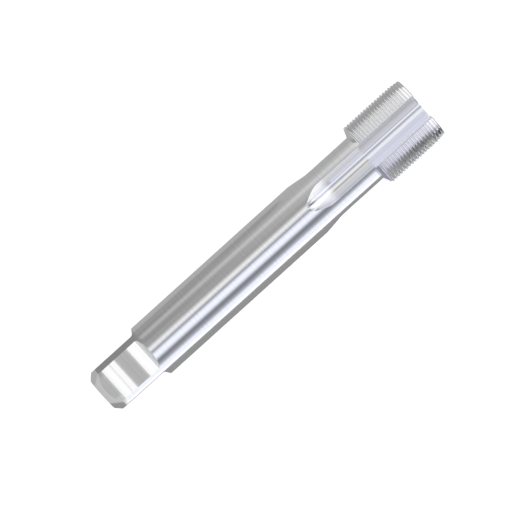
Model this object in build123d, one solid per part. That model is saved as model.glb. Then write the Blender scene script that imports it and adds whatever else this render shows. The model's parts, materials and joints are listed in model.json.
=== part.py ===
from build123d import *
import math
import os

# A long-shank thread tap, ground from one bar of high speed steel.
# It is built with its axis on X, square end at 0, and then laid down as it rests on a bench.

# Bar and driving square, in mm and degrees
overall_length = 178.0
shank_diameter = 25.0
square_across_flats = 20.0
square_length = 25.75
square_fillet = 1.5
square_shoulder_angle = 60.0
square_end_face_diameter = 15.2
square_sides = 4

# Cutting thread
thread_diameter = 33.0
thread_pitch = 1.5
thread_length = 31.3
thread_rear_angle = 67.0
lead_length = 5.2
lead_drop = 0.75
tip_edge_break = 0.5

# Flutes, as a dressed wheel grinds them
flute_count = 4
flute_width = 12.4
flute_wall_lean = 10.0
flute_flank_slope = 45.0
flute_blend_radius = 1.0
flute_bottom_width = 3.0
flute_bottom_radius = 9.0
core_diameter = 13.2
flute_start = 114.8
grinding_wheel_radius = 19.0

# Centres that the tap is ground and sharpened between
centre_mouth_diameter = 6.7
centre_pilot_diameter = 3.15
centre_pilot_length = 5.0
centre_angle = 60.0
drill_point_slope = 30.0

# Cutting tools reach this far past the surfaces that they cut
overcut = 2.0
wheel_reach_angle = 75.0

shank_radius = shank_diameter / 2
crest_radius = thread_diameter / 2
core_radius = core_diameter / 2
flat_height = square_across_flats / 2
thread_start = overall_length - thread_length

# A metric external thread: flanks at 60 degrees, crest an eighth of the pitch wide
thread_half_angle = 30.0
thread_depth = 0.6134 * thread_pitch
crest_flat = thread_pitch / 8
root_radius = crest_radius - thread_depth

# The wheel lifts out along its own rim, so a flute is at full depth only this far on
flute_depth_in_shank = shank_radius - core_radius
runout_length = math.sqrt(2 * grinding_wheel_radius * flute_depth_in_shank - flute_depth_in_shank**2)
flute_full = flute_start + runout_length


def rise(run, angle):
    """Height gained over a run at an angle in degrees."""
    return run * math.tan(math.radians(angle))


def turned_blank():
    """The bar as turned: end cone, shank, rear cone of the thread, lead and tip."""
    end_face_radius = square_end_face_diameter / 2
    end_cone = shank_radius - end_face_radius
    rear_cone = rise(crest_radius - shank_radius, 90 - thread_rear_angle)
    outline = Polyline(
        (0, 0),
        (0, end_face_radius),
        (end_cone, shank_radius),
        (thread_start, shank_radius),
        (thread_start + rear_cone, crest_radius),
        (overall_length - lead_length, crest_radius),
        (overall_length, crest_radius - lead_drop),
        (overall_length, 0),
        close=True,
    )
    section = make_face(outline)
    tip_corner = section.vertices().sort_by(Axis.X)[-2:].sort_by(Axis.Y)[-1]
    return revolve(chamfer(tip_corner, tip_edge_break), Axis.X)


def groove_pass(arc):
    """The thread groove over one land: a right-hand helical stretch, arc degrees long."""
    mouth_overcut = crest_flat / 4
    half_mouth = (thread_pitch - crest_flat) / 2
    half_root = half_mouth - rise(thread_depth, thread_half_angle)
    half_top = half_mouth + rise(mouth_overcut, thread_half_angle)
    top = thread_depth + mouth_overcut
    path = Helix(thread_pitch, thread_pitch * arc / 360, root_radius, direction=(1, 0, 0))
    foot = path @ 0
    outward = Vector(0, foot.Y, foot.Z).normalized()
    across = Plane(origin=foot, x_dir=(1, 0, 0), z_dir=Vector(1, 0, 0).cross(outward))
    section = Polygon((-half_root, 0), (half_root, 0), (half_top, top), (-half_top, top), align=None)
    return sweep(across * section, path=path, is_frenet=True)


def thread_grooves():
    """Every pass of the one helical groove, land by land, from behind the thread to past the tip."""
    flute_step = 360 / flute_count
    land_arc = flute_step - 2 * math.degrees(math.asin(flute_width / thread_diameter))
    arc = (land_arc + flute_step) / 2
    groove = groove_pass(arc)
    turns = math.ceil(thread_length / thread_pitch) + 1
    passes = []
    for land in range(flute_count):
        angle = (land + 0.5) * flute_step - arc / 2
        for turn in range(turns):
            place = thread_start + thread_pitch * (turn - 1 + angle / 360)
            passes.append(groove.rotate(Axis.X, angle).translate((place, 0, 0)))
    return passes


def bend_to(start, radius, slope, next_slope):
    """Where a bend of this radius gets to while its slope changes, in degrees."""
    run = radius * (math.sin(math.radians(next_slope)) - math.sin(math.radians(slope)))
    climb = radius * (math.cos(math.radians(slope)) - math.cos(math.radians(next_slope)))
    return start[0] + run, start[1] + climb


def bend(start, radius, slope, next_slope):
    """An arc that curves up from one slope to a steeper one."""
    middle = bend_to(start, radius, slope, (slope + next_slope) / 2)
    return ThreePointArc(start, middle, bend_to(start, radius, slope, next_slope))


def flute_section():
    """The flute's form, the same as the wheel's rim: a shallow bottom, flat flanks and leaning walls."""
    bottom_slope = math.degrees(math.asin(flute_bottom_width / 2 / flute_bottom_radius))
    wall_slope = 90 - flute_wall_lean
    half_width = flute_width / 2
    edge_height = math.sqrt(crest_radius**2 - half_width**2)
    flank_foot = bend_to((0, core_radius), flute_bottom_radius, 0, bottom_slope)
    flank_start = bend_to(flank_foot, flute_blend_radius, bottom_slope, flute_flank_slope)

    # The flank is as wide as brings the bend above it onto the wall
    past_bend = bend_to(flank_start, flute_blend_radius, flute_flank_slope, wall_slope)
    short_of_wall = half_width - rise(edge_height - past_bend[1], flute_wall_lean) - past_bend[0]
    flank_width = short_of_wall / (1 - rise(rise(1, flute_flank_slope), flute_wall_lean))
    flank_end = (flank_start[0] + flank_width, flank_start[1] + rise(flank_width, flute_flank_slope))
    wall_foot = bend_to(flank_end, flute_blend_radius, flute_flank_slope, wall_slope)
    top = crest_radius + overcut
    wall_top = (wall_foot[0] + rise(top - wall_foot[1], flute_wall_lean), top)

    side = [
        bend((0, core_radius), flute_bottom_radius, 0, bottom_slope),
        bend(flank_foot, flute_blend_radius, bottom_slope, flute_flank_slope),
        Line(flank_start, flank_end),
        bend(flank_end, flute_blend_radius, flute_flank_slope, wall_slope),
        Line(wall_foot, wall_top),
        Line(wall_top, (0, top)),
    ]
    return make_face(side + [mirror(line, Plane.YZ) for line in side])


def flute_cutter():
    """What one pass of the wheel removes: a straight channel and its curved run-out."""
    across = Plane(origin=(flute_full, 0, 0), x_dir=(0, 1, 0), z_dir=(1, 0, 0))
    section = across * flute_section()
    channel = extrude(section, overall_length - flute_full + overcut)
    wheel_axis = Axis((flute_full, 0, core_radius + grinding_wheel_radius), (0, 1, 0))
    runout = revolve(section, wheel_axis, revolution_arc=wheel_reach_angle)
    return channel, runout


def square_cutter():
    """What the mill removes for one flat: level over the square, sloping out at the shoulder."""
    height = shank_radius + overcut - flat_height
    slope_run = rise(height, 90 - square_shoulder_angle)
    outline = Polyline(
        (-overcut, flat_height),
        (square_length, flat_height),
        (square_length + slope_run, flat_height + height),
        (-overcut, flat_height + height),
        close=True,
    )
    profile = make_face(Plane.XZ * outline)
    foot = profile.vertices().sort_by(Axis.Z)[:2].sort_by(Axis.X)[-1]
    return extrude(fillet(foot, square_fillet), shank_radius + overcut, both=True)


def centre_drill():
    """A pilot hole with a 60 degree mouth, drilled along +X from a face at 0."""
    mouth_radius = centre_mouth_diameter / 2
    pilot_radius = centre_pilot_diameter / 2
    cone_length = (mouth_radius - pilot_radius) / math.tan(math.radians(centre_angle / 2))
    outline = Polyline(
        (0, 0),
        (0, mouth_radius),
        (cone_length, pilot_radius),
        (cone_length + centre_pilot_length, pilot_radius),
        (cone_length + centre_pilot_length + rise(pilot_radius, drill_point_slope), 0),
        close=True,
    )
    return revolve(make_face(outline), Axis.X)


def finished_tap():
    """The bar with its flutes, square, centres and thread, axis on X."""
    tap = turned_blank()
    for turn in range(flute_count):
        for cutter in flute_cutter():
            tap -= cutter.rotate(Axis.X, turn * 360 / flute_count)
    for turn in range(square_sides):
        tap -= square_cutter().rotate(Axis.X, turn * 360 / square_sides)
    tap -= centre_drill()
    tap -= centre_drill().rotate(Axis.Y, 180).translate((overall_length, 0, 0))
    return tap - thread_grooves()


def rest_tilt():
    """The angle at which it lies: on two lands behind the thread and on the shank behind the square."""
    land_height = math.sqrt(crest_radius**2 - (flute_width / 2) ** 2)
    thread_contact = thread_start + rise(crest_radius - shank_radius, 90 - thread_rear_angle)
    shank_contact = square_length + rise(shank_radius - flat_height, 90 - square_shoulder_angle)
    return math.degrees(math.atan2(land_height - shank_radius, thread_contact - shank_contact))


def laid_down(tap):
    """Thread end raised by the rest tilt, floor at 0, middle of the box over the origin."""
    tilted = tap.rotate(Axis.Y, -rest_tilt())
    box = tilted.bounding_box()
    return tilted.translate((-box.center().X, 0, -box.min.Z))


os.makedirs("parts", exist_ok=True)
thread_tap = laid_down(finished_tap())
thread_tap.label = "thread_tap"
export_step(thread_tap, "parts/thread_tap.step")
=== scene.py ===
import json
import math

import bmesh
import bpy
from mathutils import Matrix, Vector


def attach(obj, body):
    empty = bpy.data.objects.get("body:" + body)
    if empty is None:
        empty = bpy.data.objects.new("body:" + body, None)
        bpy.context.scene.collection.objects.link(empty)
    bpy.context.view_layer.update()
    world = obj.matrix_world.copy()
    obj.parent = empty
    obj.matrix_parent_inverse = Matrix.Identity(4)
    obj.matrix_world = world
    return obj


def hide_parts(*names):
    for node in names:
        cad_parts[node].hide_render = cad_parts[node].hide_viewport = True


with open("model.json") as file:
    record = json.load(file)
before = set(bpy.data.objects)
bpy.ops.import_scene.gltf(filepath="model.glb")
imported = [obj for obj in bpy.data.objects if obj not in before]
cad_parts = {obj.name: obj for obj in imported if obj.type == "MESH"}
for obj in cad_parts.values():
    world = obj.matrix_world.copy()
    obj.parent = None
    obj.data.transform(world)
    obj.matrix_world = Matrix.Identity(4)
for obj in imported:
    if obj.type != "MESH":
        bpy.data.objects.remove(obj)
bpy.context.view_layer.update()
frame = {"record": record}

# A long-shank thread tap, ground from one bar of high speed steel, lying on a pale floor.
# Sizes are in millimetres along the tap's own axis, square end at 0, and angles in degrees.
MM = 0.001

# Bar and driving square
OVERALL_LENGTH = 178.0
SHANK_RADIUS = 12.5
END_FACE_RADIUS = 7.6
SQUARE_SIDES = 4
FLAT_HEIGHT = 10.0
SQUARE_LENGTH = 25.75
SQUARE_FILLET = 1.5
SHOULDER_ANGLE = 60.0

# Cutting thread
CREST_RADIUS = 16.5
THREAD_PITCH = 1.5
THREAD_LENGTH = 31.3
THREAD_START = OVERALL_LENGTH - THREAD_LENGTH
REAR_ANGLE = 67.0
LEAD_LENGTH = 5.2
LEAD_DROP = 0.75
TIP_EDGE = 0.5
FLANK_ANGLE = 30.0
THREAD_DEPTH = 0.6134 * THREAD_PITCH
CREST_FLAT = THREAD_PITCH / 8
ROOT_RADIUS = CREST_RADIUS - THREAD_DEPTH

# Flutes, as a dressed wheel grinds them
FLUTES = 4
FLUTE_WIDTH = 12.4
WALL_LEAN = 10.0
FLANK_SLOPE = 45.0
BOTTOM_WIDTH = 3.0
BOTTOM_RADIUS = 9.0
BLEND_RADIUS = 1.0
CORE_RADIUS = 6.6
FLUTE_START = 114.8
WHEEL_RADIUS = 19.0

# Centre holes
CENTRE_MOUTH_RADIUS = 3.35
CENTRE_HALF_ANGLE = 30.0
PILOT_RADIUS = 1.575
PILOT_LENGTH = 5.0
DRILL_POINT_SLOPE = 30.0

# How finely round stretches are divided
BAR_SEGMENTS = 512
HOLE_SEGMENTS = 64
THREAD_STEPS = 384
ARC_STEP = 2.5
LEAST_ARC_STEPS = 2
WHEEL_STEP = 0.8

# The wheel's arc is cut this far round, past where it leaves the bar
WHEEL_REACH = 60.0

# Cutters reach this far past the surfaces that they cut, and the groove has this many turns to spare
OVERCUT = 2.0
SPARE_TURNS = 2

# How near points are merged, and how near a face counts as lying at a place
MERGE_WITHIN = 0.0005
SAME_PLACE = 0.0001

# Edges sharper than this stay crisp
SHARP_FROM = 25.0

TAP_AXIS = (1, 0, 0)
SIDE_AXIS = (0, 1, 0)

# The record says how the tap lies: its axis, and the middle of its tip face
mounts = {mount["name"]: mount for mount in frame["record"]["mounts"]}
TIP = Vector(mounts["cutting_thread"]["pos_m"])
ALONG = Vector(mounts["cutting_thread"]["axis"]).normalized()
ACROSS = Vector(SIDE_AXIS)
ABOVE = ALONG.cross(ACROSS)
TAIL = TIP - ALONG * OVERALL_LENGTH * MM
TILT = math.atan2(ALONG.z, ALONG.x)


def rise(run, angle):
    """Height gained over a run at an angle in degrees."""
    return run * math.tan(math.radians(angle))


def bend_size(radius, slope, next_slope):
    """How far a bend of this radius goes across and up while its slope changes, in degrees."""
    start = math.radians(slope)
    end = math.radians(next_slope)
    return radius * (math.sin(end) - math.sin(start)), radius * (math.cos(start) - math.cos(end))


REAR_CONE_LENGTH = rise(CREST_RADIUS - SHANK_RADIUS, 90 - REAR_ANGLE)


# Drawing and cutting


def deselect():
    """Leave edit mode, with nothing selected."""
    if bpy.context.mode != "OBJECT":
        bpy.ops.object.mode_set(mode="OBJECT")
    bpy.ops.object.select_all(action="DESELECT")


def pull(move):
    """Extrude what is selected, by a move in mm."""
    bpy.ops.mesh.extrude_region_move(TRANSFORM_OT_translate={"value": Vector(move) * MM})


def draw(name, start, strokes):
    """A line from a start point, in mm. A stroke is a point to go to, or an arc: centre, axis, degrees."""
    deselect()
    bpy.ops.mesh.primitive_plane_add(size=MM, location=Vector(start) * MM)
    piece = bpy.context.object
    piece.name = name
    bpy.ops.object.transform_apply()
    bpy.ops.object.mode_set(mode="EDIT")
    bpy.ops.mesh.merge(type="CENTER")
    here = Vector(start)
    for stroke in strokes:
        if isinstance(stroke[0], (int, float)):
            there = Vector(stroke)
            pull(there - here)
        else:
            centre, axis, angle = stroke
            centre = Vector(centre)
            steps = max(LEAST_ARC_STEPS, round(abs(angle) / ARC_STEP))
            turn = Matrix.Rotation(math.radians(angle), 3, Vector(axis))
            there = centre + turn @ (here - centre)
            bpy.ops.mesh.spin(steps=steps, angle=-math.radians(angle), center=centre * MM, axis=axis)
        here = there
    bpy.ops.mesh.select_all(action="SELECT")
    return piece


def pick_faces(piece, wanted):
    """Select only the faces for which wanted says yes."""
    bpy.ops.mesh.select_all(action="DESELECT")
    mesh = bmesh.from_edit_mesh(piece.data)
    for face in mesh.faces:
        if wanted(face):
            face.select_set(True)
    bmesh.update_edit_mesh(piece.data)


def close_up(piece):
    """Merge what meets, turn the faces outwards and leave edit mode."""
    bpy.ops.mesh.select_all(action="SELECT")
    bpy.ops.mesh.remove_doubles(threshold=MERGE_WITHIN * MM)
    bpy.ops.mesh.normals_make_consistent(inside=False)
    bpy.ops.object.mode_set(mode="OBJECT")
    return piece


def turned(name, outline, segments):
    """A body of revolution about the tap's axis, from an outline in mm that starts and ends on it."""
    piece = draw(name, outline[0], outline[1:])
    bpy.ops.mesh.spin(steps=segments, angle=math.tau, center=(0, 0, 0), axis=TAP_AXIS)
    return close_up(piece)


def cut(piece, cutter, ways=1):
    """Cut a shape out of the piece, the given number of times around the axis."""
    for way in range(ways):
        deselect()
        bpy.context.view_layer.objects.active = piece
        cutter.rotation_euler = (way * math.tau / ways, 0, 0)
        bpy.context.view_layer.update()
        change = piece.modifiers.new("cut", "BOOLEAN")
        change.operation = "DIFFERENCE"
        change.solver = "EXACT"
        change.object = cutter
        bpy.ops.object.modifier_apply(modifier=change.name)
    bpy.data.objects.remove(cutter)


# The tap


def bar():
    """The bar as turned: end cone, shank, rear cone of the thread, lead and broken tip edge."""
    end_cone = SHANK_RADIUS - END_FACE_RADIUS
    tip_radius = CREST_RADIUS - LEAD_DROP
    slope = math.atan2(LEAD_DROP, LEAD_LENGTH)
    outline = [
        (0, 0, 0),
        (0, 0, END_FACE_RADIUS),
        (end_cone, 0, SHANK_RADIUS),
        (THREAD_START, 0, SHANK_RADIUS),
        (THREAD_START + REAR_CONE_LENGTH, 0, CREST_RADIUS),
        (OVERALL_LENGTH - LEAD_LENGTH, 0, CREST_RADIUS),
        (OVERALL_LENGTH - TIP_EDGE * math.cos(slope), 0, tip_radius + TIP_EDGE * math.sin(slope)),
        (OVERALL_LENGTH, 0, tip_radius - TIP_EDGE),
        (OVERALL_LENGTH, 0, 0),
    ]
    return turned("tap", outline, BAR_SEGMENTS)


def half_flute(full):
    """Strokes of half the flute's section, from the middle of its bottom up to past the crests."""
    bottom_slope = math.degrees(math.asin(BOTTOM_WIDTH / 2 / BOTTOM_RADIUS))
    wall_slope = 90 - WALL_LEAN

    # Each bend has its radius, the slope that it starts from and the steeper one that it leads to
    bends = [
        (BOTTOM_RADIUS, 0, bottom_slope),
        (BLEND_RADIUS, bottom_slope, FLANK_SLOPE),
        (BLEND_RADIUS, FLANK_SLOPE, wall_slope),
    ]

    # The flank is as wide as brings the last bend onto the wall
    width = sum(bend_size(*bend)[0] for bend in bends)
    height = sum(bend_size(*bend)[1] for bend in bends)
    edge_height = math.sqrt(CREST_RADIUS**2 - (FLUTE_WIDTH / 2) ** 2)
    lean = rise(1, WALL_LEAN)
    left_over = FLUTE_WIDTH / 2 - width - (edge_height - CORE_RADIUS - height) * lean
    flank_width = left_over / (1 - rise(1, FLANK_SLOPE) * lean)

    here = Vector((full, 0, CORE_RADIUS))
    strokes = []
    for radius, slope, next_slope in bends:
        tilt = math.radians(slope)
        centre = here + Vector((0, -math.sin(tilt), math.cos(tilt))) * radius
        strokes.append((centre, TAP_AXIS, next_slope - slope))
        here = here + Vector((0, *bend_size(radius, slope, next_slope)))
        if next_slope == FLANK_SLOPE:
            here = here + Vector((0, flank_width, rise(flank_width, FLANK_SLOPE)))
            strokes.append(tuple(here))
    top = CREST_RADIUS + OVERCUT
    return strokes + [(full, here.y + (top - here.z) * lean, top), (full, 0, top)]


def flute_cutter():
    """What one pass of the wheel removes: a straight channel and its curved run-out."""
    depth = SHANK_RADIUS - CORE_RADIUS
    full = FLUTE_START + math.sqrt(2 * WHEEL_RADIUS * depth - depth**2)
    piece = draw("flute cutter", (full, 0, CORE_RADIUS), half_flute(full))
    bpy.ops.mesh.symmetrize(direction="POSITIVE_Y", threshold=SAME_PLACE * MM)
    bpy.ops.mesh.select_all(action="SELECT")
    bpy.ops.mesh.remove_doubles(threshold=MERGE_WITHIN * MM)
    bpy.ops.mesh.edge_face_add()
    pull((OVERALL_LENGTH + OVERCUT - full, 0, 0))

    def at_full_depth(face):
        return abs(face.calc_center_median().x - full * MM) < SAME_PLACE * MM

    pick_faces(piece, at_full_depth)
    bpy.ops.mesh.spin(
        steps=round(WHEEL_REACH / WHEEL_STEP),
        angle=-math.radians(WHEEL_REACH),
        center=Vector((full, 0, CORE_RADIUS + WHEEL_RADIUS)) * MM,
        axis=SIDE_AXIS,
    )
    return close_up(piece)


def square_cutter():
    """What the mill removes for one flat: level over the square, sloping out at the shoulder."""
    side = SHANK_RADIUS + OVERCUT
    height = side - FLAT_HEIGHT
    bend_start = SQUARE_LENGTH - rise(SQUARE_FILLET, SHOULDER_ANGLE / 2)
    strokes = [
        (bend_start, -side, FLAT_HEIGHT),
        ((bend_start, -side, FLAT_HEIGHT + SQUARE_FILLET), SIDE_AXIS, -SHOULDER_ANGLE),
        (SQUARE_LENGTH + rise(height, 90 - SHOULDER_ANGLE), -side, side),
        (-OVERCUT, -side, side),
    ]
    piece = draw("square cutter", (-OVERCUT, -side, FLAT_HEIGHT), strokes)
    bpy.ops.mesh.edge_face_add()
    pull((0, 2 * side, 0))
    return close_up(piece)


def centre_drill(face, inwards):
    """A pilot hole with a conical mouth, drilled inwards from the end face at that place."""
    cone = (CENTRE_MOUTH_RADIUS - PILOT_RADIUS) / rise(1, CENTRE_HALF_ANGLE)
    bottom = cone + PILOT_LENGTH
    outline = [
        (face - inwards * OVERCUT, 0, 0),
        (face - inwards * OVERCUT, 0, CENTRE_MOUTH_RADIUS + rise(OVERCUT, CENTRE_HALF_ANGLE)),
        (face + inwards * cone, 0, PILOT_RADIUS),
        (face + inwards * bottom, 0, PILOT_RADIUS),
        (face + inwards * (bottom + rise(PILOT_RADIUS, DRILL_POINT_SLOPE)), 0, 0),
    ]
    return turned("centre drill", outline, HOLE_SEGMENTS)


def thread_groove():
    """The one right-hand helical groove, from behind the thread to past the tip."""
    past_crest = CREST_FLAT / 4
    top = CREST_RADIUS + past_crest
    half_mouth = (THREAD_PITCH - CREST_FLAT) / 2
    half_root = half_mouth - rise(THREAD_DEPTH, FLANK_ANGLE)
    half_top = half_mouth + rise(past_crest, FLANK_ANGLE)
    start = THREAD_START - THREAD_PITCH
    section = [(start + half_root, 0, ROOT_RADIUS), (start + half_top, 0, top), (start - half_top, 0, top)]
    piece = draw("thread groove", (start - half_root, 0, ROOT_RADIUS), section)
    bpy.ops.mesh.edge_face_add()
    bpy.ops.mesh.delete(type="ONLY_FACE")
    bpy.ops.object.mode_set(mode="OBJECT")
    screw = piece.modifiers.new("thread", "SCREW")
    screw.axis = "X"
    screw.angle = math.tau
    screw.screw_offset = THREAD_PITCH * MM
    screw.iterations = math.ceil(THREAD_LENGTH / THREAD_PITCH) + SPARE_TURNS
    screw.steps = THREAD_STEPS
    screw.render_steps = THREAD_STEPS
    bpy.ops.object.modifier_apply(modifier=screw.name)

    # Close its two ends, which have as many sides as its section
    bpy.ops.object.mode_set(mode="EDIT")
    bpy.ops.mesh.select_all(action="DESELECT")
    bpy.ops.mesh.select_non_manifold()
    bpy.ops.mesh.fill_holes(sides=len(section) + 1)
    return close_up(piece)


def finished_tap():
    """The bar with its flutes, square, centre holes and thread, axis on X."""
    piece = bar()
    cut(piece, flute_cutter(), FLUTES)
    cut(piece, square_cutter(), SQUARE_SIDES)
    cut(piece, centre_drill(0, 1))
    cut(piece, centre_drill(OVERALL_LENGTH, -1))
    cut(piece, thread_groove())
    return piece


def lay_down(piece):
    """Turn and move the piece to where the tap lies, with its place in its mesh."""
    deselect()
    bpy.context.view_layer.objects.active = piece
    piece.select_set(True)
    piece.rotation_euler = (0, -TILT, 0)
    piece.location = TAIL
    bpy.ops.object.transform_apply(location=True, rotation=True, scale=True)
    bpy.ops.object.shade_smooth_by_angle(angle=math.radians(SHARP_FROM))


tap = finished_tap()
lay_down(tap)
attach(tap, "root")
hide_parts("thread_tap")


# Nodes and colours

PLUS = {"operation": "ADD"}
MINUS = {"operation": "SUBTRACT"}
TIMES = {"operation": "MULTIPLY"}
TIMES_PLUS = {"operation": "MULTIPLY_ADD"}
SMALLER = {"operation": "MINIMUM"}
LARGER = {"operation": "MAXIMUM"}
SIZE = {"operation": "ABSOLUTE"}
IN_DEGREES = {"operation": "DEGREES"}
DOT = {"operation": "DOT_PRODUCT"}
SOFTLY = {"interpolation_type": "SMOOTHSTEP"}
NUMBERS = {"data_type": "FLOAT"}
PLACES = {"data_type": "VECTOR"}
COLOURS = {"data_type": "RGBA"}
WHITE = "#FFFFFF"


def node(tree, kind, settings, *inputs, **named):
    """Add a shader node.

    Its inputs come in their order, or by name with _ for a space, or by number, as i6.
    A node that is given as an input is linked by its first output.
    """
    made = tree.nodes.new("ShaderNode" + kind)
    for name, value in settings.items():
        setattr(made, name, value)
    given = dict(enumerate(inputs))
    for name, value in named.items():
        given[int(name[1:]) if name[1:].isdigit() else name.replace("_", " ")] = value
    for place, value in given.items():
        if isinstance(value, bpy.types.Node):
            value = value.outputs[0]
        if isinstance(value, bpy.types.NodeSocket):
            tree.links.new(value, made.inputs[place])
        else:
            made.inputs[place].default_value = value
    return made


def srgb(code):
    """A colour written as sRGB hex, as Blender's linear values."""
    parts = [int(code[place : place + 2], 16) / 255 for place in (1, 3, 5)]
    linear = [part / 12.92 if part <= 0.04045 else ((part + 0.055) / 1.055) ** 2.4 for part in parts]
    return (*linear, 1.0)


def material(name):
    """A new material and its empty node tree."""
    made = bpy.data.materials.new(name)
    made.use_nodes = True
    made.node_tree.nodes.clear()
    return made, made.node_tree


# High speed steel, ground bright and left bare
STEEL = "#F9F9FA"
LINE_STEEL = "#F3F3F4"
# The thread groove's steel is a little darker than the bar's: painted shade in the groove's recesses
SHADED_GROOVE_STEEL = "#F3F3F4"
BAR_ROUGHNESS = 0.13
GROOVE_ROUGHNESS = 0.35
GROOVE_SPREAD = 1.0
QUARTER_TURN = 0.25

# Real grinding lines are some hundredths of a millimetre wide. They are drawn coarser, so that they show.
LINE_WIDTH = 0.9
LINE_DEPTH = 0.003
LINE_DETAIL = 2.0
LINE_TONES = (0.35, 0.65)
ROUGHNESS_SPREAD = 0.03

# Where one finish gives way to the next: past the rear cone, below the crests, up from just under the roots,
# at the start of the flutes, below the shank, in from the lands' edges, and in from the end faces
PAST_REAR_CONE = (0.0, 0.2)
BELOW_CREST = (0.04, 0.12)
UNDER_ROOT = (0.25, 0.15)
AT_FLUTE_START = (-0.1, 0.1)
BELOW_SHANK = (0.04, 0.08)
FLUTE_EDGE = 0.1
END_FACE = (0.04, 0.02)


def ground_steel():
    """The steel of the whole tap.

    The wheel leaves fine lines around the bar and along the flutes. The bar is close to a mirror.
    In the thread the lines run along the groove, so each flank spreads light along the tap.
    """
    made, tree = material("ground high speed steel")

    # Places on the tap in mm, from the middle of the square's end face
    place = node(tree, "TexCoord", {}).outputs["Object"]
    place = node(tree, "VectorMath", MINUS, place, TAIL)
    place = node(tree, "VectorRotate", {"rotation_type": "Y_AXIS"}, Vector=place, Angle=TILT)
    place = node(tree, "VectorMath", {"operation": "SCALE"}, place, Scale=1 / MM)
    along, across, up = node(tree, "SeparateXYZ", {}, place).outputs
    in_section = node(tree, "CombineXYZ", {}, Y=across, Z=up)
    radius = node(tree, "VectorMath", {"operation": "LENGTH"}, in_section).outputs["Value"]
    sideways = node(tree, "Math", SMALLER, node(tree, "Math", SIZE, across), node(tree, "Math", SIZE, up))

    # In the thread, below the crests, which drop along the lead
    full_thread = THREAD_START + REAR_CONE_LENGTH
    in_thread = node(tree, "MapRange", SOFTLY, along, *[full_thread + past for past in PAST_REAR_CONE])
    on_lead = node(tree, "Math", MINUS, along, OVERALL_LENGTH - LEAD_LENGTH)
    on_lead = node(tree, "Math", LARGER, on_lead, 0.0)
    crest = node(tree, "Math", TIMES_PLUS, on_lead, -LEAD_DROP / LEAD_LENGTH, CREST_RADIUS)
    below_crest = node(tree, "MapRange", SOFTLY, node(tree, "Math", MINUS, crest, radius), *BELOW_CREST)
    above_root = node(tree, "MapRange", SOFTLY, radius, *[ROOT_RADIUS - below for below in UNDER_ROOT])
    groove = node(tree, "Math", TIMES, in_thread, node(tree, "Math", TIMES, below_crest, above_root))

    # In the flutes, first below the shank's surface and then between the lands
    past_start = node(tree, "MapRange", SOFTLY, along, *[FLUTE_START + past for past in AT_FLUTE_START])
    below_shank = node(tree, "MapRange", SOFTLY, radius, *[SHANK_RADIUS - below for below in BELOW_SHANK])
    in_bar = node(tree, "Math", TIMES, past_start, below_shank)
    half_width = FLUTE_WIDTH / 2
    off_land = node(tree, "MapRange", SOFTLY, sideways, half_width, half_width - FLUTE_EDGE)
    in_flute = node(tree, "Math", LARGER, in_bar, node(tree, "Math", TIMES, in_thread, off_land))

    # Lines lengthwise in the flutes, in rings on the end faces, and around the bar everywhere else
    on_tip = node(tree, "MapRange", SOFTLY, along, *[OVERALL_LENGTH - within for within in END_FACE])
    on_end = node(tree, "Math", LARGER, on_tip, node(tree, "MapRange", SOFTLY, along, *END_FACE))
    ring = node(tree, "Math", TIMES_PLUS, radius, on_end, along)
    around_bar = node(tree, "CombineXYZ", {}, X=ring)
    line_place = node(tree, "Mix", PLACES, in_flute, i4=around_bar, i5=in_section).outputs[1]
    lines = node(tree, "TexNoise", {}, Vector=line_place, Scale=1 / LINE_WIDTH, Detail=LINE_DETAIL)
    on_bar = node(tree, "Math", MINUS, 1.0, groove)
    bump = node(tree, "Bump", {}, Strength=on_bar, Distance=LINE_DEPTH * MM, Height=lines)

    # Smoother on the bar than in the groove. The groove's steel is also a little darker, as painted shade in
    # the thread's recesses.
    smoothest = BAR_ROUGHNESS - ROUGHNESS_SPREAD / 2
    bar_roughness = node(tree, "Math", TIMES_PLUS, lines, ROUGHNESS_SPREAD, smoothest)
    roughness = node(tree, "MapRange", SOFTLY, groove, 0.0, 1.0, bar_roughness, GROOVE_ROUGHNESS)
    spread = node(tree, "MapRange", SOFTLY, groove, 0.0, 1.0, 0.0, GROOVE_SPREAD)
    line_tone = node(tree, "MapRange", SOFTLY, lines, *LINE_TONES)
    steel = node(tree, "Mix", COLOURS, line_tone, i6=srgb(STEEL), i7=srgb(LINE_STEEL)).outputs[2]
    colour = node(tree, "Mix", COLOURS, groove, i6=steel, i7=srgb(SHADED_GROOVE_STEEL)).outputs[2]
    shader = node(
        tree,
        "BsdfPrincipled",
        {},
        Base_Color=colour,
        Metallic=1.0,
        Roughness=roughness,
        Anisotropic=spread,
        Anisotropic_Rotation=QUARTER_TURN,
        Tangent=node(tree, "Tangent", {"direction_type": "RADIAL", "axis": "X"}),
        Normal=bump,
    )
    node(tree, "OutputMaterial", {}, shader)
    return made


tap.data.materials.clear()
tap.data.materials.append(ground_steel())

# Studio light: soft strips that run along the tap, by their angle from straight above to the near side.
# Each has its middle, half its width and its soft edge in degrees, and its strength. One takes light away.
STRIPS = [
    (-67.1, 8.3, 8.9, 0.19),
    (-31.4, 6.1, 4.4, 0.04),
    (-7.7, 6.9, 10.8, 0.68),
    (24.5, 16.3, 17.8, 0.74),
    (47.4, 8.1, 6.6, -0.42),
    (51.8, 6.1, 6.9, 0.22),
    (84.4, 17.2, 8.7, 0.70),
]
STUDIO_GREY = 0.322
DARKEST = 0.02

# The far side gets brighter towards the tip, between its least and its most
FAR_SIDE_EDGE = (-42.0, -32.0)
FAR_SIDE_RISE = 3.5
FAR_SIDE_LEVEL = 0.047
FAR_SIDE_LEAST = -0.06
FAR_SIDE_MOST = 0.35

# Where the strips end, by how far a direction points along the tap
PAST_TIP = (0.03, 0.40)
PAST_SQUARE = (-0.08, -0.25)

# Light beyond the tip, from overhead to the sides, behind the square, and low on the near side at both
AHEAD = 1.12
BESIDE = 0.66
OVERHEAD_EDGE = (40.0, 60.0)
BEHIND = 0.8
LOW = 0.42
LOW_EDGE = (68.0, 76.0)

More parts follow.
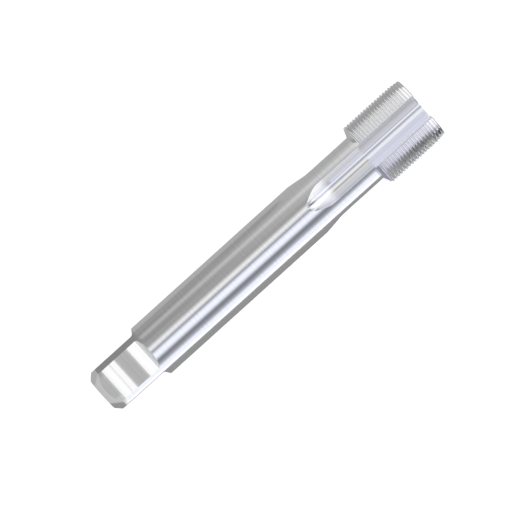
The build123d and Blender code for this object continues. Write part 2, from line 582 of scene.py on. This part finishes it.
# The gap between the two upper strips, and the dark line in it, which is strongest far beyond the tip
GAP_ANGLE = 6.5
GAP_EDGE = (0.9, 8.3)
GAP_DARKNESS = 0.33
DARK_LINE_EDGE = (1.0, 5.5)
DARK_LINE_STRENGTH = 0.75
DARK_LINE_FAR = (0.8, 0.95)
DARK_LINE_NEAR_SHARE = 0.2

# The near side is a little cooler than the rest, by these shares of red, green and blue
COOL_FROM = (-3.0, 3.0)
COOL_TO = (90.0, 100.0)
COOL = (0.955, 0.985, 1.10, 1.0)


def strip_light(tree, angle, ahead):
    """The strips, and what the far side gets besides."""
    light = STUDIO_GREY
    for middle, half, soft, strength in STRIPS:
        off = node(tree, "Math", SIZE, node(tree, "Math", MINUS, angle, middle))
        edge = node(tree, "MapRange", SOFTLY, off, half - soft, half + soft, strength, 0.0)
        light = node(tree, "Math", PLUS, light, edge)
    far_side = node(tree, "MapRange", SOFTLY, angle, *FAR_SIDE_EDGE, 1.0, 0.0)
    more = node(tree, "Math", TIMES_PLUS, ahead, FAR_SIDE_RISE, FAR_SIDE_LEVEL)
    more = node(tree, "Math", SMALLER, more, FAR_SIDE_MOST)
    more = node(tree, "Math", LARGER, more, FAR_SIDE_LEAST)
    return node(tree, "Math", PLUS, light, node(tree, "Math", TIMES, far_side, more))


def end_light(tree, light, angle, ahead, past_tip):
    """The same light, with what lies beyond the two ends of the strips."""
    past_square = node(tree, "MapRange", SOFTLY, ahead, *PAST_SQUARE)
    above_low = node(tree, "MapRange", SOFTLY, angle, *LOW_EDGE, 1.0, 0.0)
    overhead = node(tree, "MapRange", SOFTLY, node(tree, "Math", SIZE, angle), *OVERHEAD_EDGE, AHEAD, BESIDE)
    front = node(tree, "Mix", NUMBERS, above_low, i2=LOW, i3=overhead)
    back = node(tree, "Math", TIMES_PLUS, above_low, BEHIND - LOW, LOW)
    light = node(tree, "Mix", NUMBERS, past_tip, i2=light, i3=front)
    return node(tree, "Mix", NUMBERS, past_square, i2=light, i3=back)


def gap_darkness(tree, sideways, ahead, past_tip):
    """What the gap takes away. It is as wide all the way, also beyond the tip."""
    off = node(tree, "Math", IN_DEGREES, node(tree, "Math", {"operation": "ARCSINE"}, sideways))
    off = node(tree, "Math", SIZE, node(tree, "Math", MINUS, off, GAP_ANGLE))
    gap = node(tree, "MapRange", SOFTLY, off, *GAP_EDGE, GAP_DARKNESS, 0.0)
    line = node(tree, "MapRange", SOFTLY, off, *DARK_LINE_EDGE, DARK_LINE_STRENGTH, 0.0)
    far = node(tree, "MapRange", SOFTLY, ahead, *DARK_LINE_FAR, DARK_LINE_NEAR_SHARE, 1.0)
    line = node(tree, "Math", TIMES, node(tree, "Math", TIMES, line, far), past_tip)
    return node(tree, "Math", PLUS, gap, line)


def studio():
    """The light around the tap, by its direction."""
    world = bpy.data.worlds.new("studio")
    bpy.context.scene.world = world
    world.use_nodes = True
    tree = world.node_tree
    tree.nodes.clear()
    towards = node(tree, "TexCoord", {}).outputs["Generated"]
    upwards = node(tree, "VectorMath", DOT, towards, ABOVE).outputs["Value"]
    sideways = node(tree, "VectorMath", DOT, towards, -ACROSS).outputs["Value"]
    ahead = node(tree, "VectorMath", DOT, towards, ALONG).outputs["Value"]
    angle = node(tree, "Math", {"operation": "ARCTAN2"}, sideways, upwards)
    angle = node(tree, "Math", IN_DEGREES, angle)
    past_tip = node(tree, "MapRange", SOFTLY, ahead, *PAST_TIP)

    light = strip_light(tree, angle, ahead)
    light = end_light(tree, light, angle, ahead, past_tip)
    light = node(tree, "Math", MINUS, light, gap_darkness(tree, sideways, ahead, past_tip))
    light = node(tree, "Math", LARGER, light, DARKEST)

    from_edge = node(tree, "MapRange", SOFTLY, angle, *COOL_FROM)
    to_edge = node(tree, "MapRange", SOFTLY, angle, *COOL_TO, 1.0, 0.0)
    cool = node(tree, "Math", TIMES, from_edge, to_edge)
    tint = node(tree, "Mix", COLOURS, cool, i6=srgb(WHITE), i7=COOL).outputs[2]
    node(tree, "OutputWorld", {}, node(tree, "Background", {}, tint, light))


studio()


# Floor and cards. Places are in mm from the floor under the middle of the tap's box:
# towards the tip, towards the far side, and up.

# How a card is turned: level, upright beside the tap, or upright across it
LEVEL = (0, 0, 0)
UPRIGHT = (math.pi / 2, 0, 0)
CROSSWISE = (0, math.pi / 2, 0)

FLOOR_WHITE = "#E8E8E8"
FLOOR_GLOW = 0.62
FLOOR_SIZE = (8000, 8000)

# Slats in front of a card: how far apart, how deep, how far off the card, and how bright
SLAT_STEP = 0.5
SLAT_DEPTH = 2.1
SLAT_GAP = 0.1
SLAT_BRIGHTNESS = 0.02


def pale_floor():
    """A matt white floor, lit so that it is white where the tap doesn't shade it."""
    made, tree = material("matt white floor")
    path = node(tree, "LightPath", {}).outputs
    seen = node(tree, "Math", PLUS, path["Is Camera Ray"], path["Is Glossy Ray"])
    seen = node(tree, "Math", PLUS, seen, path["Is Transmission Ray"])
    glow = node(tree, "Emission", {}, srgb(WHITE), node(tree, "Math", TIMES, seen, FLOOR_GLOW))
    matt = node(tree, "BsdfDiffuse", {}, srgb(FLOOR_WHITE))
    node(tree, "OutputMaterial", {}, node(tree, "AddShader", {}, matt, glow))
    return made


def glowing(name, colour, brightness):
    """Plain light of one colour, as from a lit card."""
    made, tree = material(name)
    node(tree, "OutputMaterial", {}, node(tree, "Emission", {}, srgb(colour), brightness))
    return made


def sheet(name, middle, size, surface, turn=LEVEL):
    """A flat sheet, which belongs to the studio and not to the object."""
    deselect()
    bpy.ops.mesh.primitive_plane_add(size=1, location=Vector(middle) * MM, rotation=turn)
    made = bpy.context.object
    made.name = name
    made.scale = (size[0] * MM, size[1] * MM, 1)
    bpy.ops.object.transform_apply()
    made.data.materials.append(surface)
    return made


def card(name, middle, size, brightness, turn=LEVEL, colour=WHITE):
    """A sheet that only shows as a reflection in the metal."""
    made = sheet(name, middle, size, glowing(name, colour, brightness), turn)
    made.visible_camera = False
    made.visible_diffuse = False
    made.visible_shadow = False
    return made


def slats(name, middle, size):
    """Thin dark slats in front of upright cards, so that these only show when seen straight on."""
    first = (middle[0] - size[0] / 2, middle[1] + SLAT_GAP + SLAT_DEPTH / 2, middle[2])
    made = card(name, first, (size[1], SLAT_DEPTH), SLAT_BRIGHTNESS, CROSSWISE)
    row = made.modifiers.new("row", "ARRAY")
    row.count = round(size[0] / SLAT_STEP) + 1
    row.use_relative_offset = False
    row.use_constant_offset = True
    row.constant_offset_displace = (SLAT_STEP * MM, 0, 0)
    bpy.ops.object.modifier_apply(modifier=row.name)


# Cards on the floor, which the lower sides mirror, and one that stands behind the thread.
# Each has its name, middle, size and brightness, and where they aren't plain, its turn and colour.
CARDS_AROUND = [
    ("near card", (40, -54.5, 0.4), (320, 91), 0.31),
    ("far card inner", (0, 30, 0.4), (400, 42), 0.44),
    ("far card", (0, 2025, 0.4), (8000, 3950), 0.33),
    ("far card, tip end", (1020, 2025, 0.5), (2000, 3950), 0.43),
    ("flag behind the thread", (57.1, -11.6, 23.6), (16.7, 10.8), 0.37, CROSSWISE, "#E9E9FF"),
    ("card behind the square", (-1560, -720, 0.6), (2880, 1560), 0.56),
]

# Lights on both sides of the thread, brighter beside the lead, in the same order
THREAD_CARDS = [
    ("thread light, far side", (78, 45, 48.5), (36, 53), 1.02, UPRIGHT),
    ("lead light, far side", (111, 45, 46), (30, 40), 1.15, UPRIGHT),
    ("thread light, near side", (78, -35, 49.5), (36, 33), 1.15, UPRIGHT, "#F0EFFF"),
    ("lead light, near side", (111, -35, 45.75), (30, 40.5), 1.25, UPRIGHT),
    ("gridded thread light", (74, -35, 26.5), (28, 13), 0.5, UPRIGHT),
    ("gridded thread light, low", (74, -35, 10), (28, 20), 1.6, UPRIGHT),
    ("lead card, middle", (107, -35, 18.75), (38, 13.5), 0.08, UPRIGHT),
    ("lead card, low", (107, -35, 6), (38, 12), 0.75, UPRIGHT),
]

# The middle and size of the two gridded lights together
GRIDDED_MIDDLE = (74, -35, 16.5)
GRIDDED_SIZE = (28, 33)

# Strips in the mouth of the upper flute: name, start and end of the width, brightness and colour
FLUTE_STRIPS = [
    ("flute strip, far", -6.3, -4.9, 0.35, "#F9F7FF"),
    ("flute strip, middle", -4.9, -3.6, 0.54, "#F9F7FF"),
    ("flute strip, inner", -3.6, -1.9, 0.78, "#F7F5FF"),
    ("flute strip, bottom", 0.25, 1.3, 0.98, "#F3F6FF"),
    ("flute strip, near", 1.9, 6.3, 0.88, "#EDEFFF"),
]
FLUTE_STRIP_MIDDLE = 73.5
FLUTE_STRIP_LENGTH = 31
FLUTE_STRIP_HEIGHT = 29.5
NECK_STRIP = ("flute strip, neck", (49, -2.75, 27.5), (18, 1.7), 0.85, LEVEL, "#F2F5FF")


def flute_strips():
    """Narrow strips over the upper flute, seen by its two flanks and its bottom, and one over the neck."""
    for name, start, end, brightness, colour in FLUTE_STRIPS:
        middle = (FLUTE_STRIP_MIDDLE, (start + end) / 2, FLUTE_STRIP_HEIGHT)
        card(name, middle, (FLUTE_STRIP_LENGTH, end - start), brightness, colour=colour)
    card(*NECK_STRIP)


# A small lamp over the square, and dim panels hung below it: name, start and end along the tap,
# near and far side, drop and brightness. The flat leans, so it mirrors what lies a little further back.
SQUARE_LAMP = [
    ("square lamp", -3.0, 26.3, -15.0, 15.0, 0.0, 1.07),
    ("end panel, near part", -3.0, 6.4, -15.0, -5.0, 0.3, 0.56),
    ("end panel", -3.0, 6.4, -5.0, 6.0, 0.3, 0.46),
    ("end panel, far part", -3.0, 6.4, 6.0, 15.0, 0.3, 0.37),
    ("middle panel", 13.2, 20.0, -15.0, 15.0, 0.3, 0.46),
    ("seam", 10.35, 10.7, -15.0, 15.0, 0.3, 0.6),
]
SQUARE_LAMP_HEIGHT = 34.0
LAMP_SET_BACK = 0.9

# Cards that stand beside the square: name, middle from its end face and to the side, length and brightness
BESIDE_SQUARE = [
    ("end panel, side", -13.5, -30, 36, 0.62),
    ("dark side of the square", 10, 30, 32, 0.25),
]
BESIDE_SQUARE_TALL = 40


def square_cards():
    """The lamp over the square, the dim end of one beside it, and the dark side across from that."""
    square_end = TAIL.x / MM
    for name, start, end, near, far, drop, brightness in SQUARE_LAMP:
        along = square_end + (start + end) / 2 - LAMP_SET_BACK
        middle = (along, (near + far) / 2, SQUARE_LAMP_HEIGHT - drop)
        card(name, middle, (end - start, far - near), brightness)
    for name, along, side, length, brightness in BESIDE_SQUARE:
        middle = (square_end + along, side, BESIDE_SQUARE_TALL / 2)
        card(name, middle, (length, BESIDE_SQUARE_TALL), brightness, UPRIGHT)


sheet("floor", (0, 0, 0), FLOOR_SIZE, pale_floor())
for values in CARDS_AROUND + THREAD_CARDS:
    card(*values)
slats("slats of the gridded light", GRIDDED_MIDDLE, GRIDDED_SIZE)
flute_strips()
square_cards()

# Camera, as the photograph was framed: straight across the tap's axis, from far away
PIXELS = 512
PIXELS_PER_MM = 2.409
MIDDLE_PIXEL = (261.9, 251.0)
TAP_SLOPE = 42.06
LENS = 250.0
SENSOR = 36.0


def photo_camera():
    """A camera that looks down at the tap, with its picture turned by the tap's slope in the photograph."""
    slope = math.radians(TAP_SLOPE)
    beside = ABOVE.cross(ALONG)
    right = ALONG * math.cos(slope) - beside * math.sin(slope)
    top = ALONG * math.sin(slope) + beside * math.cos(slope)
    pixel = MM / PIXELS_PER_MM
    aim = (TIP + TAIL) / 2 - right * (MIDDLE_PIXEL[0] - PIXELS / 2) * pixel
    aim = aim - top * (PIXELS / 2 - MIDDLE_PIXEL[1]) * pixel
    lens = bpy.data.cameras.new("camera")
    lens.lens = LENS
    lens.sensor_width = SENSOR
    camera = bpy.data.objects.new("camera", lens)
    bpy.context.scene.collection.objects.link(camera)
    place = Matrix((right, top, ABOVE)).transposed().to_4x4()
    place.translation = aim + ABOVE * (LENS / SENSOR * PIXELS * pixel)
    camera.matrix_world = place
    bpy.context.scene.camera = camera


photo_camera()
bpy.context.scene.view_settings.view_transform = "Standard"
